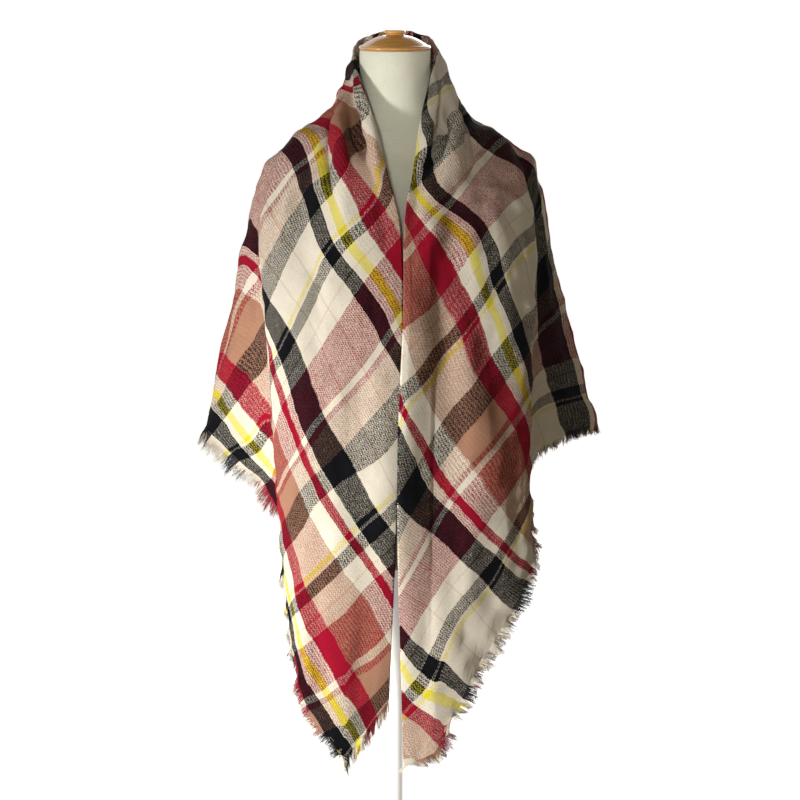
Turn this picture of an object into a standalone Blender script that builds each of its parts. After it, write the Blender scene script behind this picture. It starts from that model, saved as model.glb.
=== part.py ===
"""A square blanket scarf, folded on its diagonal and worn as a shawl on a dress form.

Metres, +Z up, the front faces -Y. The form's pole stands on the origin.
The cloth is one hollow wall, two woven layers thick. It is skinned over guide lines that
run down the cloth from the fold round the neck to the fringed hem.
"""
import math

import bmesh
import bpy
import numpy as np

# --- Driving sizes -----------------------------------------------------------------------
CLEAR = 0.0003            # gap between pieces that touch
WALL = 0.0040             # two layers of brushed 2 mm cloth
BASE_RADIUS = 0.150
BASE_THICK = 0.008
BASE_EDGE = 0.002
POLE_RADIUS = 0.0105
TORSO_BOTTOM = 0.790
NECK_TOP = 1.4735
CAP_RADIUS = 0.0475
CAP_RIM = 0.0060
CAP_HEIGHT = 0.0185
KNOB_RADIUS = 0.0138
KNOB_TOP = 1.5000
ROUND_STEPS = 40

# --- The dress form's level sections, from the hem of the torso to the neck ----------------
# z, half_width, front_y, back_y, corner (2 is an ellipse, more is squarer)
TORSO = (
    (TORSO_BOTTOM, 0.146, -0.096, 0.100, 2.2),
    (0.850, 0.152, -0.101, 0.106, 2.3),
    (0.940, 0.140, -0.094, 0.096, 2.3),
    (1.030, 0.120, -0.086, 0.078, 2.2),
    (1.120, 0.132, -0.101, 0.080, 2.3),
    (1.200, 0.150, -0.116, 0.086, 2.4),
    (1.270, 0.160, -0.102, 0.092, 2.4),
    (1.315, 0.1595, -0.078, 0.090, 2.3),
    (1.338, 0.1455, -0.062, 0.082, 2.2),
    (1.357, 0.116, -0.053, 0.072, 2.1),
    (1.372, 0.083, -0.047, 0.061, 2.0),
    (1.385, 0.059, -0.045, 0.054, 2.0),
    (1.404, 0.050, -0.045, 0.050, 2.0),
    (1.432, 0.0470, -0.0455, 0.0475, 2.0),
    (NECK_TOP, 0.0465, -0.0465, 0.0465, 2.0),
)

# --- The cloth's guide lines ---------------------------------------------------------------
# Each line runs from the fold at the neck to the hem, in millimetres. The columns are the
# levels: fold, collar, nape, shoulder, chest, waist, hip, hem. Each cell is x, y, z.
LEFT_GUIDES = (
    ("edge", ((-51, -4, 1458), (-44, -35, 1440), (-27, -66, 1390), (-12, -98, 1326),
              (6, -124, 1250), (8, -137, 1120), (1, -134, 900), (-9, -126, 617))),
    ("tip", ((-52, 10, 1463), (-54, -22, 1438), (-52, -48, 1388), (-50, -94, 1325),
             (-44, -129, 1235), (-50, -140, 1092), (-62, -138, 905), (-69, -128, 534))),
    ("panel", ((-52, 22, 1470), (-60, -4, 1436), (-72, -22, 1390), (-92, -68, 1338),
               (-99, -118, 1230), (-103, -131, 1087), (-108, -130, 900), (-118, -120, 607))),
    ("ridge", ((-50, 33, 1476), (-62, 12, 1436), (-84, 0, 1388), (-133, -34, 1349),
               (-166, -74, 1245), (-160, -95, 1090), (-152, -99, 928), (-147, -96, 775))),
    ("valley", ((-45, 43, 1481), (-61, 28, 1437), (-88, 18, 1388), (-141, -4, 1348),
                (-171, -24, 1270), (-167, -36, 1108), (-163, -42, 982), (-156, -44, 868))),
    ("wing", ((-37, 51, 1486), (-56, 44, 1438), (-86, 38, 1385), (-142, 24, 1342),
              (-178, 14, 1298), (-205, 26, 1160), (-232, 38, 1044), (-259, 45, 953))),
    ("blade", ((-22, 58, 1491), (-38, 68, 1441), (-53, 70, 1393), (-100, 84, 1335),
               (-148, 101, 1255), (-176, 113, 1120), (-182, 118, 1005), (-160, 116, 880))),
)
SPINE_GUIDE = ("spine", ((0, 62, 1494), (0, 82, 1443), (0, 80, 1388), (0, 102, 1322),
                         (0, 122, 1225), (0, 134, 1080), (0, 141, 905), (0, 146, 678)))
RIGHT_GUIDES = (
    ("blade", ((22, 58, 1492), (38, 68, 1442), (54, 70, 1393), (102, 84, 1335),
               (150, 101, 1255), (178, 113, 1120), (184, 118, 1010), (160, 116, 888))),
    ("wing", ((38, 51, 1488), (60, 44, 1441), (90, 38, 1384), (150, 24, 1348),
              (185, 14, 1314), (213, 28, 1190), (247, 38, 1058), (277, 45, 957))),
    ("valley", ((46, 43, 1484), (66, 28, 1440), (95, 18, 1384), (150, -4, 1348),
                (179, -24, 1262), (178, -36, 1110), (178, -44, 1012), (182, -44, 934))),
    ("ridge", ((50, 33, 1479), (67, 12, 1440), (93, 0, 1383), (140, -34, 1349),
               (174, -73, 1240), (173, -94, 1090), (173, -99, 930), (176, -98, 787))),
    ("panel", ((52, 22, 1474), (61, -4, 1438), (78, -24, 1388), (104, -68, 1332),
               (110, -118, 1228), (114, -132, 1085), (116, -130, 900), (102, -120, 648))),
    ("tip", ((53, 10, 1468), (54, -22, 1438), (58, -49, 1388), (66, -94, 1328),
             (54, -129, 1235), (58, -140, 1092), (56, -138, 900), (52, -130, 545))),
    ("edge", ((51, -4, 1461), (44, -35, 1438), (34, -66, 1390), (26, -98, 1333),
              (14, -124, 1262), (12, -137, 1130), (6, -134, 900), (12, -126, 522))),
)
GUIDES = LEFT_GUIDES + (SPINE_GUIDE,) + RIGHT_GUIDES
LEFT_TIP, SPINE, RIGHT_TIP = 1, 7, 13
LAST_GUIDE = len(GUIDES) - 1
LAST_LEVEL = len(SPINE_GUIDE[1]) - 1

# --- The cloth's largest folds --------------------------------------------------------------
# Each runs straight over the net of guides and levels. One that runs out through the hem
# grows all the way to it. The others fade at both ends. height is outward, below 0 a trough.
# from_guide, from_level, to_guide, to_level, width, height
FOLDS = (
    (0.75, 1.0, 0.10, 3.3, 0.009, 0.007),     # left collar: roll, pocket, roll, edge of the shoulder
    (1.70, 1.0, 0.30, 3.3, 0.009, -0.010),
    (2.20, 1.0, 1.30, 3.6, 0.012, 0.010),
    (2.70, 1.4, 1.50, 3.7, 0.008, -0.008),
    (13.20, 0.9, 13.95, 3.1, 0.009, 0.007),   # right collar, the same
    (12.40, 1.0, 13.95, 3.6, 0.009, -0.010),
    (11.90, 1.0, 13.20, 3.5, 0.012, 0.010),
    (11.10, 1.6, 12.30, 3.3, 0.008, -0.008),
    (13.0, 3.2, 11.5, 5.8, 0.024, -0.008),    # right panel
    (2.6, 3.0, 1.6, 5.6, 0.026, -0.007),      # left panel
    (5.2, 3.4, 5.45, 7.0, 0.024, 0.018),      # the back, from the left wing to the right
    (5.6, 3.2, 5.85, 7.0, 0.024, -0.016),
    (6.1, 3.6, 6.3, 7.0, 0.026, 0.020),
    (6.6, 3.0, 6.75, 7.0, 0.028, -0.018),
    (7.2, 3.4, 7.25, 7.0, 0.026, 0.022),
    (7.7, 3.2, 7.65, 7.0, 0.026, -0.018),
    (8.1, 3.5, 8.1, 7.0, 0.024, 0.020),
    (8.6, 3.3, 8.5, 7.0, 0.024, -0.014),
)

ACROSS_PER_GUIDE = 5
DOWN_PER_LEVEL = 4

# --- Fringe -----------------------------------------------------------------------------------
FRINGE_GAP = 0.0008        # from the hem, whose end face twists, to the strip
FRINGE_STRIP = 0.0025     # depth of the strip that the strands grow from
FRINGE_LENGTHS = (        # guide, length
    (0.0, 0.0150), (1.0, 0.0180), (2.0, 0.0125), (3.7, 0.0125), (4.2, 0.0230), (4.8, 0.0250),
    (5.8, 0.0200), (7.0, 0.0180), (8.2, 0.0180), (9.0, 0.0160), (10.0, 0.0135), (14.0, 0.0135),
)
FRINGE_THICK = 0.0022
FRINGE_TIP = 0.35         # a strand's tip, as a share of its root
FRINGE_PITCH = 0.0105
FRINGE_END = 0.2          # bare hem at the ends of a run, in guides


def material(name, colour, roughness, metallic=0.0):
    """Return a Principled material."""
    made = bpy.data.materials.new(name)
    made.use_nodes = True
    shader = made.node_tree.nodes["Principled BSDF"]
    shader.inputs["Base Color"].default_value = (*colour, 1.0)
    shader.inputs["Roughness"].default_value = roughness
    shader.inputs["Metallic"].default_value = metallic
    made.diffuse_color = (*colour, 1.0)
    return made


def add_object(name, verts, faces, mat, sharp=40):
    """Make one closed body of the given corners and faces."""
    mesh = bpy.data.meshes.new(name)
    mesh.from_pydata([tuple(v) for v in verts], [], faces)
    shape = bmesh.new()
    shape.from_mesh(mesh)
    bmesh.ops.recalc_face_normals(shape, faces=shape.faces)
    shape.to_mesh(mesh)
    shape.free()
    mesh.materials.append(mat)
    mesh.shade_smooth()
    mesh.set_sharp_from_angle(angle=math.radians(sharp))
    made = bpy.data.objects.new(name, mesh)
    bpy.context.collection.objects.link(made)
    return made


def loft(rings):
    """Return corners and faces of rings joined in order, closed by a flat at each end."""
    count = len(rings[0])
    verts = [point for ring in rings for point in ring]
    faces = []
    for low in range(len(rings) - 1):
        for step in range(count):
            after = (step + 1) % count
            faces.append((low * count + step, low * count + after,
                          (low + 1) * count + after, (low + 1) * count + step))
    faces.append(tuple(reversed(range(count))))
    faces.append(tuple((len(rings) - 1) * count + step for step in range(count)))
    return verts, faces


def round_ring(radius, z):
    """Return a level circle round the form's axis."""
    turns = [2 * math.pi * step / ROUND_STEPS for step in range(ROUND_STEPS)]
    return [(radius * math.cos(turn), radius * math.sin(turn), z) for turn in turns]


def torso_ring(z, half_width, front, back, corner):
    """Return one level section of the torso."""
    ring = []
    for step in range(ROUND_STEPS):
        turn = 2 * math.pi * step / ROUND_STEPS
        across, along = math.cos(turn), math.sin(turn)
        depth = back if along > 0 else -front
        ring.append((half_width * math.copysign(abs(across) ** (2 / corner), across),
                     depth * math.copysign(abs(along) ** (2 / corner), along), z))
    return ring


def smooth_through(values, places):
    """Read a Catmull-Rom curve through equally spaced values at the given places."""
    values = np.asarray(values, float)
    last = len(values) - 1
    before = np.vstack([2 * values[:1] - values[1:2], values, 2 * values[-1:] - values[-2:-1]])
    span = np.clip(np.floor(places).astype(int), 0, last - 1)
    t = (np.asarray(places) - span).reshape((-1,) + (1,) * (values.ndim - 1))
    p0, p1, p2, p3 = (before[span + k] for k in range(4))
    return 0.5 * (2 * p1 + (p2 - p0) * t + (2 * p0 - 5 * p1 + 4 * p2 - p3) * t ** 2
                  + (3 * p1 - p0 - 3 * p2 + p3) * t ** 3)


def cloth_net(across, down):
    """Return the cloth's face towards the form at the given guide and level numbers."""
    cells = np.array([row for _, row in GUIDES], float) / 1000.0
    by_guide = smooth_through(cells, across)
    net = smooth_through(by_guide.transpose(1, 0, 2), down).transpose(1, 0, 2)
    net += tip_corners(across, down, cells[:, -1], by_guide[:, -1])
    return net + net_normals(net) * fold_heights(net, across, down)[:, :, None]


def tip_corners(across, down, guide_ends, hem):
    """Return the moves that run the hem straight into the square's corner at each front tip."""
    straight = read_between(guide_ends, across)
    near_tip = np.minimum(abs(across - LEFT_TIP), abs(across - RIGHT_TIP)) < 1.0
    share = near_tip[:, None] * np.clip(down - LAST_LEVEL + 1, 0.0, 1.0)[None, :] ** 2
    return share[:, :, None] * (straight - hem)[:, None, :]


def fold_heights(net, across, down):
    """Return how far the folds lift each point of the net."""
    girth = np.linalg.norm(np.diff(net, axis=0), axis=2)
    reach = np.vstack([np.zeros(len(down)), np.cumsum(girth, axis=0)])
    lift = np.zeros(net.shape[:2])
    for from_guide, from_level, to_guide, to_level, width, height in FOLDS:
        along = np.clip((down - from_level) / (to_level - from_level), 0.0, 1.0)
        strength = along if to_level == LAST_LEVEL else np.sin(np.pi * along)
        middle = from_guide + (to_guide - from_guide) * along
        centre = np.array([np.interp(middle[k], across, reach[:, k]) for k in range(len(down))])
        lift += height * strength * np.exp(-((reach - centre) / width) ** 2)
    return lift


def net_normals(net):
    """Return the outward directions of a net of points."""
    across = np.gradient(net, axis=0)
    down = np.gradient(net, axis=1)
    normal = np.cross(across, down)
    return normal / np.linalg.norm(normal, axis=2, keepdims=True)


def wall_between(outer, inner):
    """Return corners and faces of the closed wall between two nets."""
    wide, high = outer.shape[:2]
    verts = list(outer.reshape(-1, 3)) + list(inner.reshape(-1, 3))
    back = wide * high

    def at(i, j, side=0):
        return side * back + i * high + j

    faces = []
    for i in range(wide - 1):
        for j in range(high - 1):
            faces.append((at(i, j), at(i + 1, j), at(i + 1, j + 1), at(i, j + 1)))
            faces.append((at(i, j, 1), at(i, j + 1, 1), at(i + 1, j + 1, 1), at(i + 1, j, 1)))
    rim = [(i, 0) for i in range(wide)] + [(wide - 1, j) for j in range(1, high)]
    rim += [(i, high - 1) for i in range(wide - 2, -1, -1)] + [(0, j) for j in range(high - 2, 0, -1)]
    for first, second in zip(rim, rim[1:] + rim[:1]):
        faces.append((at(*first), at(*first, 1), at(*second, 1), at(*second)))
    return verts, faces


def cloth_columns():
    """Return the guide numbers of the cloth's columns."""
    return np.linspace(0, LAST_GUIDE, LAST_GUIDE * ACROSS_PER_GUIDE + 1)


def cloth_rows():
    """Return the level numbers of the cloth's rows."""
    return np.linspace(0, LAST_LEVEL, LAST_LEVEL * DOWN_PER_LEVEL + 1)


def build_cloth(mat):
    """Skin the scarf's hollow wall over its guide lines."""
    inner = cloth_net(cloth_columns(), cloth_rows())
    outer = inner + net_normals(inner) * WALL
    verts, faces = wall_between(outer, inner)
    return add_object("scarf_cloth", verts, faces, mat, sharp=60)


def hem_frame():
    """Return the hem's middle, its way down and its way out at each column of the cloth."""
    inner = cloth_net(cloth_columns(), cloth_rows())
    outward = net_normals(inner)[:, -1]
    hem = inner[:, -1] + outward * WALL / 2
    along = np.gradient(hem, axis=0)
    fall = np.cross(along, outward)
    fall /= np.linalg.norm(fall, axis=1, keepdims=True)
    fall *= np.sign(np.sum(fall * (inner[:, -1] - inner[:, -2]), axis=1))[:, None]
    return hem, fall, outward


def read_between(rows, places):
    """Read straight between rows of x, y, z at the given places."""
    return np.array([np.interp(places, range(len(rows)), rows[:, axis]) for axis in range(3)]).T


def build_fringe(name, first, last, mat):
    """Build one run of strands, with their roots in a narrow strip along the hem."""
    across = cloth_columns()
    hem, fall, outward = hem_frame()
    picked = [i for i in range(len(across)) if first - 1e-6 <= across[i] <= last + 1e-6]
    joints, is_strand = [], []
    for i, j in zip(picked, picked[1:]):
        strands = max(1, round(float(np.linalg.norm(hem[j] - hem[i])) / FRINGE_PITCH))
        for k in range(2 * strands):
            joints.append(i + (j - i) * k / (2 * strands))
            is_strand.append(k % 2 == 0)
    joints.append(picked[-1])
    places, falls, outs = (read_between(rows, joints) for rows in (hem, fall, outward))
    half = outs * FRINGE_THICK / 2
    top = places + falls * FRINGE_GAP
    low = top + falls * FRINGE_STRIP
    lengths = np.interp(np.interp(joints, range(len(across)), across), *zip(*FRINGE_LENGTHS))
    end = top + falls * lengths[:, None]
    verts = []
    for k in range(len(joints)):
        verts += [top[k] + half[k], top[k] - half[k], low[k] + half[k], low[k] - half[k]]
    faces = [(0, 1, 3, 2)]
    for k, strand in enumerate(is_strand):
        a, b = 4 * k, 4 * (k + 1)
        faces += [(a, b, b + 1, a + 1), (a, a + 2, b + 2, b), (a + 1, b + 1, b + 3, a + 3)]
        root = (a + 2, a + 3, b + 3, b + 2)
        if not strand:
            faces.append(root)
            continue
        middle = (end[k] + end[k + 1]) / 2
        at = len(verts)
        for joint, sign in ((k, 1), (k, -1), (k + 1, -1), (k + 1, 1)):
            verts.append(middle + FRINGE_TIP * (end[joint] - middle + sign * half[joint]))
        faces += [(root[side], root[(side + 1) % 4], at + (side + 1) % 4, at + side)
                  for side in range(4)]
        faces.append((at, at + 1, at + 2, at + 3))
    a = 4 * (len(joints) - 1)
    faces.append((a, a + 2, a + 3, a + 1))
    return add_object(name, verts, faces, mat)


def build_form(linen):
    """Build the torso and neck as one smooth turned and sectioned body."""
    rows = np.array(TORSO, float)
    places = np.linspace(0, len(rows) - 1, (len(rows) - 1) * 2 + 1)
    rings = [torso_ring(*row) for row in smooth_through(rows, places)]
    return add_object("form_torso", *loft(rings), linen)


def turned(name, profile, mat):
    """Turn a profile of (radius, z) rows round the form's axis."""
    return add_object(name, *loft([round_ring(radius, z) for radius, z in profile]), mat, sharp=50)


def build_cap(wood):
    """Turn the wooden neck cap: a rounded rim under a low dome."""
    foot = NECK_TOP + CLEAR
    profile = [(CAP_RADIUS - 0.003, foot)]
    for step in range(1, 6):
        turn = math.pi * step / 6
        profile.append((CAP_RADIUS - 0.004 + 0.004 * math.sin(turn),
                        foot + CAP_RIM * (1 - math.cos(turn)) / 2))
    for step in range(7):
        share = step / 6
        radius = CAP_RADIUS - 0.004 - (CAP_RADIUS - 0.004 - KNOB_RADIUS) * share
        profile.append((radius, foot + CAP_RIM + (CAP_HEIGHT - CAP_RIM) * math.sin(share * math.pi / 2)))
    return turned("form_cap", profile, wood)


def build_knob(wood):
    """Turn the knob: a short waist and a flat round top."""
    foot = NECK_TOP + 2 * CLEAR + CAP_HEIGHT
    tall = KNOB_TOP - foot
    profile = ((KNOB_RADIUS - 0.0012, foot), (KNOB_RADIUS - 0.0018, foot + 0.18 * tall),
               (KNOB_RADIUS - 0.0003, foot + 0.34 * tall), (KNOB_RADIUS, foot + 0.60 * tall),
               (KNOB_RADIUS - 0.0006, foot + 0.86 * tall), (KNOB_RADIUS - 0.0030, KNOB_TOP))
    return turned("form_knob", profile, wood)


def build_stand(paint):
    """Turn the round base and the pole that carries the torso."""
    turned("stand_base", ((BASE_RADIUS - BASE_EDGE / 2, 0.0), (BASE_RADIUS, BASE_EDGE / 2),
                          (BASE_RADIUS, BASE_THICK - BASE_EDGE),
                          (BASE_RADIUS - BASE_EDGE, BASE_THICK)), paint)
    turned("stand_pole", ((POLE_RADIUS, BASE_THICK + CLEAR),
                          (POLE_RADIUS, TORSO_BOTTOM - CLEAR)), paint)


def build():
    """Clear the scene and model the scarf on its form."""
    for old in list(bpy.data.objects):
        bpy.data.objects.remove(old, do_unlink=True)
    wool = material("plaid_cloth", (0.42, 0.24, 0.20), 0.95)
    yarn = material("fringe_yarn", (0.55, 0.40, 0.33), 0.95)
    linen = material("form_linen", (0.74, 0.69, 0.60), 0.85)
    wood = material("honey_wood", (0.55, 0.27, 0.07), 0.35)
    paint = material("white_paint", (0.85, 0.84, 0.81), 0.45)
    build_cloth(wool)
    build_fringe("fringe_left_tip", FRINGE_END, LEFT_TIP - FRINGE_END, yarn)
    build_fringe("fringe_left", LEFT_TIP + FRINGE_END, SPINE - FRINGE_END, yarn)
    build_fringe("fringe_right", SPINE + FRINGE_END, RIGHT_TIP - FRINGE_END, yarn)
    build_fringe("fringe_right_tip", RIGHT_TIP + FRINGE_END, LAST_GUIDE - FRINGE_END, yarn)
    build_form(linen)
    build_cap(wood)
    build_knob(wood)
    build_stand(paint)


build()
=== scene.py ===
"""The looks of a plaid blanket scarf on its dress form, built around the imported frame.

Metres, +Z up, the front faces -Y. The cloth repeats the guide lines and folds of part.py at a
finer pitch, with its two woven layers, its smaller creases and its yarn. The plaid is charted
by stripe widths and placed by where its stripes lie in the photograph's 800 x 800 frame.
"""
import math

import bpy
import numpy as np
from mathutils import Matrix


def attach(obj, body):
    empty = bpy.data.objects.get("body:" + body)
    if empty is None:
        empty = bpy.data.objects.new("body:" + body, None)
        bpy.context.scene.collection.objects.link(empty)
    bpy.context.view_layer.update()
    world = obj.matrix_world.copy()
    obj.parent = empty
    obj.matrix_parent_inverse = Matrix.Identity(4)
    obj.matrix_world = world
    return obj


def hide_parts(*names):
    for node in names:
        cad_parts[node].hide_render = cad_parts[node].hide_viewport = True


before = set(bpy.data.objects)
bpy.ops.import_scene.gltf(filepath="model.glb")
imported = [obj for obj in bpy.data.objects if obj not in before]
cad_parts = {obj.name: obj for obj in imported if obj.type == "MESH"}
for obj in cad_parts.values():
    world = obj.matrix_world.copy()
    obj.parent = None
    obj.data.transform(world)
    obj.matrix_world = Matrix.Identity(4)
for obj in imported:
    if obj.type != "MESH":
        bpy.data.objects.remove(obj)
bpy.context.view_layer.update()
rng = np.random.default_rng(14)

# --- Sizes ---
FLAT = 1.40               # side of the cloth's square, which is folded on its diagonal
WALL = 0.0040             # the solid wall that stands for both layers
LAYER_GAP = 0.0034        # between the two layers' middles
HEM_GAP = 0.0022          # the same at the raw edge
HEM_LEVELS = 0.5          # over how many levels the layers close to the hem's gap
LAYER_PRESS = 0.0012      # how far the outer layer sinks into the inner one over the form
ROOM_SHARE = 0.75         # share of the level distance to the form that a trough may use
ROOM_LEFT = 0.0012        # what stays free of it
FOLD_STEPS = 3            # rows round the rolled fold, between the two layers
FOLD_BULGE = 1.15         # its depth against half the distance of the layers
CLOTH_COLUMNS = 310
CLOTH_ROWS = 154
CHART_COLUMNS = 57        # net on which the plaid is charted
CHART_ROWS = 29

# --- The camera, which stands at the photograph's viewing angle ---
CAMERA_X, CAMERA_Y, CAMERA_Z = 0.0066, -2.8, 1.622
CAMERA_PITCH = math.radians(12.479)
FOCAL_PX = 2105.26
PHOTO_PX = 800
SENSOR_MM = 36.0
NEAR_PX = 3.0             # cloth within this distance of a place may be the cloth that shows there
NEAR_DEPTH = 0.012        # cloth this far behind the nearest counts as the same surface

# --- The cloth's guide lines, as in part.py ---
# Each line runs from the fold at the neck to the hem, in millimetres. The columns are the
# levels: fold, collar, nape, shoulder, chest, waist, hip, hem. Each cell is x, y, z.
LEFT_GUIDES = (
    ("edge", ((-51, -4, 1458), (-44, -35, 1440), (-27, -66, 1390), (-12, -98, 1326),
              (6, -124, 1250), (8, -137, 1120), (1, -134, 900), (-9, -126, 617))),
    ("tip", ((-52, 10, 1463), (-54, -22, 1438), (-52, -48, 1388), (-50, -94, 1325),
             (-44, -129, 1235), (-50, -140, 1092), (-62, -138, 905), (-69, -128, 534))),
    ("panel", ((-52, 22, 1470), (-60, -4, 1436), (-72, -22, 1390), (-92, -68, 1338),
               (-99, -118, 1230), (-103, -131, 1087), (-108, -130, 900), (-118, -120, 607))),
    ("ridge", ((-50, 33, 1476), (-62, 12, 1436), (-84, 0, 1388), (-133, -34, 1349),
               (-166, -74, 1245), (-160, -95, 1090), (-152, -99, 928), (-147, -96, 775))),
    ("valley", ((-45, 43, 1481), (-61, 28, 1437), (-88, 18, 1388), (-141, -4, 1348),
                (-171, -24, 1270), (-167, -36, 1108), (-163, -42, 982), (-156, -44, 868))),
    ("wing", ((-37, 51, 1486), (-56, 44, 1438), (-86, 38, 1385), (-142, 24, 1342),
              (-178, 14, 1298), (-205, 26, 1160), (-232, 38, 1044), (-259, 45, 953))),
    ("blade", ((-22, 58, 1491), (-38, 68, 1441), (-53, 70, 1393), (-100, 84, 1335),
               (-148, 101, 1255), (-176, 113, 1120), (-182, 118, 1005), (-160, 116, 880))),
)
SPINE_GUIDE = ("spine", ((0, 62, 1494), (0, 82, 1443), (0, 80, 1388), (0, 102, 1322),
                         (0, 122, 1225), (0, 134, 1080), (0, 141, 905), (0, 146, 678)))
RIGHT_GUIDES = (
    ("blade", ((22, 58, 1492), (38, 68, 1442), (54, 70, 1393), (102, 84, 1335),
               (150, 101, 1255), (178, 113, 1120), (184, 118, 1010), (160, 116, 888))),
    ("wing", ((38, 51, 1488), (60, 44, 1441), (90, 38, 1384), (150, 24, 1348),
              (185, 14, 1314), (213, 28, 1190), (247, 38, 1058), (277, 45, 957))),
    ("valley", ((46, 43, 1484), (66, 28, 1440), (95, 18, 1384), (150, -4, 1348),
                (179, -24, 1262), (178, -36, 1110), (178, -44, 1012), (182, -44, 934))),
    ("ridge", ((50, 33, 1479), (67, 12, 1440), (93, 0, 1383), (140, -34, 1349),
               (174, -73, 1240), (173, -94, 1090), (173, -99, 930), (176, -98, 787))),
    ("panel", ((52, 22, 1474), (61, -4, 1438), (78, -24, 1388), (104, -68, 1332),
               (110, -118, 1228), (114, -132, 1085), (116, -130, 900), (102, -120, 648))),
    ("tip", ((53, 10, 1468), (54, -22, 1438), (58, -49, 1388), (66, -94, 1328),
             (54, -129, 1235), (58, -140, 1092), (56, -138, 900), (52, -130, 545))),
    ("edge", ((51, -4, 1461), (44, -35, 1438), (34, -66, 1390), (26, -98, 1333),
              (14, -124, 1262), (12, -137, 1130), (6, -134, 900), (12, -126, 522))),
)
GUIDES = LEFT_GUIDES + (SPINE_GUIDE,) + RIGHT_GUIDES
LEFT_TIP, SPINE, RIGHT_TIP = 1, 7, 13
RIGHT_CORNER = 13.6       # where the square's corner lies, beyond the tip's
LAST_GUIDE = len(GUIDES) - 1
LAST_LEVEL = len(SPINE_GUIDE[1]) - 1

# --- The cloth's largest folds, as in part.py ---
# from_guide, from_level, to_guide, to_level, width, height
FOLDS = (
    (0.75, 1.0, 0.10, 3.3, 0.009, 0.007),     # left collar: roll, pocket, roll, edge of the shoulder
    (1.70, 1.0, 0.30, 3.3, 0.009, -0.010),
    (2.20, 1.0, 1.30, 3.6, 0.012, 0.010),
    (2.70, 1.4, 1.50, 3.7, 0.008, -0.008),
    (13.20, 0.9, 13.95, 3.1, 0.009, 0.007),   # right collar, the same
    (12.40, 1.0, 13.95, 3.6, 0.009, -0.010),
    (11.90, 1.0, 13.20, 3.5, 0.012, 0.010),
    (11.10, 1.6, 12.30, 3.3, 0.008, -0.008),
    (13.0, 3.2, 11.5, 5.8, 0.024, -0.008),    # right panel
    (2.6, 3.0, 1.6, 5.6, 0.026, -0.007),      # left panel
    (5.2, 3.4, 5.45, 7.0, 0.024, 0.018),      # the back, from the left wing to the right
    (5.6, 3.2, 5.85, 7.0, 0.024, -0.016),
    (6.1, 3.6, 6.3, 7.0, 0.026, 0.020),
    (6.6, 3.0, 6.75, 7.0, 0.028, -0.018),
    (7.2, 3.4, 7.25, 7.0, 0.026, 0.022),
    (7.7, 3.2, 7.65, 7.0, 0.026, -0.018),
    (8.1, 3.5, 8.1, 7.0, 0.024, 0.020),
    (8.6, 3.3, 8.5, 7.0, 0.024, -0.014),
)

# --- Small folds and creases on the side that shows ---
# Each is a soft line over the cloth through three places of the photograph's frame. Above 0
# its height is a ridge, below 0 a trough. The guides say which part of the cloth carries it.
# low_guide, high_guide, x0, y0, x1, y1, x2, y2, width_mm, height_mm
SHOWN_CREASES = (
    (0, 2.5, 393, 300, 391, 450, 390, 610, 30, 10), (11.3, 14, 402, 235, 402, 430, 402, 670, 27, 17),
    (11, 14, 440, 225, 450, 400, 446, 610, 28, -13), (11, 14, 478, 190, 506, 340, 520, 520, 30, -6),
    (0, 2.5, 354, 430, 372, 444, 389, 450, 4, 1.6), (0, 2.5, 350, 448, 370, 460, 390, 468, 4, -1.6),
    (0, 2.5, 356, 476, 374, 482, 391, 492, 4.5, 1.5), (0, 2.5, 330, 430, 338, 462, 344, 500, 5, -1.3),
    (0, 2, 361, 92, 374, 140, 384, 200, 6.5, 5.2), (0, 3, 348, 80, 354, 118, 363, 154, 9, -22),
    (0, 3, 372, 178, 381, 215, 390, 262, 8, -3), (1, 3.5, 339, 112, 341, 145, 352, 190, 9, 8.5),
    (1, 3.5, 330, 160, 341, 205, 362, 262, 11, 3), (1, 3.5, 322, 205, 330, 250, 348, 300, 12, -2.5),
    (2, 4.5, 300, 158, 292, 190, 286, 230, 12, 3), (2, 4.5, 283, 160, 276, 200, 274, 250, 10, -3),
    (0, 2.5, 384, 300, 372, 360, 352, 430, 12, -2), (0, 2.5, 392, 350, 384, 430, 372, 520, 14, 2),
    (0.5, 3, 330, 300, 318, 380, 300, 460, 15, 2), (0.5, 3, 350, 480, 330, 560, 318, 640, 15, 2.2),
    (0.5, 3, 372, 560, 366, 640, 362, 710, 13, -2.5), (0.5, 3, 320, 560, 318, 640, 330, 710, 11, -2.5),
    (0.5, 3, 296, 560, 300, 620, 314, 690, 8, 3), (4, 6, 246, 200, 240, 270, 226, 350, 12, 3),
    (4, 6, 262, 260, 252, 330, 240, 410, 12, -4), (4, 6, 272, 330, 262, 400, 258, 470, 9, 3),
    (12, 14, 424, 100, 429, 130, 422, 165, 7, 5), (12, 14, 441, 92, 442, 128, 430, 168, 7, -20),
    (12, 14, 425, 178, 416, 205, 410, 240, 8, -4), (11, 14, 452, 100, 461, 140, 452, 190, 9, 5.5),
    (11, 14, 446, 196, 436, 232, 424, 262, 10, 3), (11, 14, 440, 190, 470, 290, 500, 400, 18, -3),
    (11, 14, 478, 165, 500, 240, 512, 330, 16, 2.6), (11, 14, 420, 300, 440, 400, 470, 500, 17, 2.4),
    (11, 14, 410, 420, 430, 520, 450, 610, 15, -2.2), (11, 14, 470, 520, 462, 600, 440, 680, 14, 2.4),
    (11, 14, 430, 600, 424, 680, 418, 745, 10, -2.2), (10, 12.5, 505, 430, 516, 500, 520, 570, 12, -2.6),
    (8, 10.6, 538, 220, 552, 310, 566, 400, 11, 2.6), (8, 10.6, 548, 260, 570, 350, 588, 430, 10, -2.6),
)
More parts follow.
